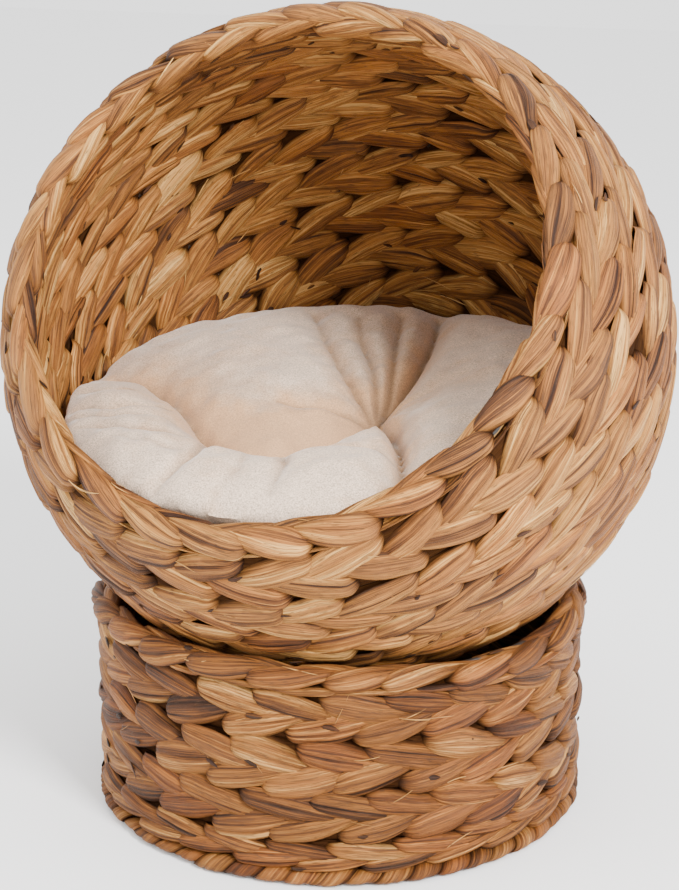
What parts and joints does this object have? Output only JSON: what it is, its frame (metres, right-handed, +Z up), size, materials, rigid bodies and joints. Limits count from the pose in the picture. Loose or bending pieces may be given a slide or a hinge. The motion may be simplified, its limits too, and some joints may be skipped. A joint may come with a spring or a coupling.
{
  "type": "wicker pet bed basket",
  "caption": "Ball-shaped plaited pet bed with a wide round mouth at the front, standing in a short plaited ring, with one round tufted cushion inside.",
  "frame": {"origin": "on the floor, under the middle of the bed's plan box", "axes": "+Z up; the mouth of the pod looks along -Y and up; +X to the right when looking at the mouth's back wall along +Y"},
  "size_m": [0.5, 0.4847, 0.6024],
  "materials": {
    "pod_leaf": "dried plaited leaf, satin, warm tan with straw and brown strands",
    "rim_leaf": "dried plaited leaf, satin, lighter tan",
    "base_leaf": "dried plaited leaf, satin, browner tan",
    "frame_wire": "black paint, satin",
    "velvet": "short-pile plush velvet, pale rose beige with a silvery sheen",
    "filling": "polyester fibre",
    "thread": "twisted sewing thread"
  },
  "bodies": {
    "base": {"base_foot_binding": "base_leaf", "base_row_1": "base_leaf", "base_row_2": "base_leaf", "base_row_3": "base_leaf", "base_row_4": "base_leaf", "base_border_plait": "base_leaf", "base_foot_hoop": "frame_wire", "base_border_hoop": "frame_wire", "base_upright_1": "frame_wire", "base_upright_2": "frame_wire", "base_upright_3": "frame_wire", "base_upright_4": "frame_wire", "base_upright_5": "frame_wire", "base_upright_6": "frame_wire"},
    "pod": {"pod_rim_plait": "rim_leaf", "pod_row_01": "pod_leaf", "pod_row_02": "pod_leaf", "pod_row_03": "pod_leaf", "pod_row_04": "pod_leaf", "pod_row_05": "pod_leaf", "pod_row_06": "pod_leaf", "pod_row_07": "pod_leaf", "pod_row_08": "pod_leaf", "pod_row_09": "pod_leaf", "pod_row_10": "pod_leaf", "pod_row_11": "pod_leaf", "pod_row_12": "pod_leaf", "pod_centre_coil": "pod_leaf", "pod_rim_hoop": "frame_wire", "pod_belly_hoop": "frame_wire", "pod_back_hoop": "frame_wire", "pod_rib_1": "frame_wire", "pod_rib_2": "frame_wire", "pod_rib_3": "frame_wire", "pod_rib_4": "frame_wire", "pod_rib_5": "frame_wire", "pod_rib_6": "frame_wire"},
    "cushion": {"cushion_cover": "velvet", "cushion_filling": "filling", "cushion_tuft_tie": "thread"}
  },
  "joints": [
    {"name": "pod_lift", "type": "slide", "parent": "base", "child": "pod", "axis": [0, 0, 1], "range_m": [0, 0.2]},
    {"name": "cushion_lift", "type": "slide", "parent": "pod", "child": "cushion", "axis": [0, 0, 1], "range_m": [0, 0.08]}
  ]
}
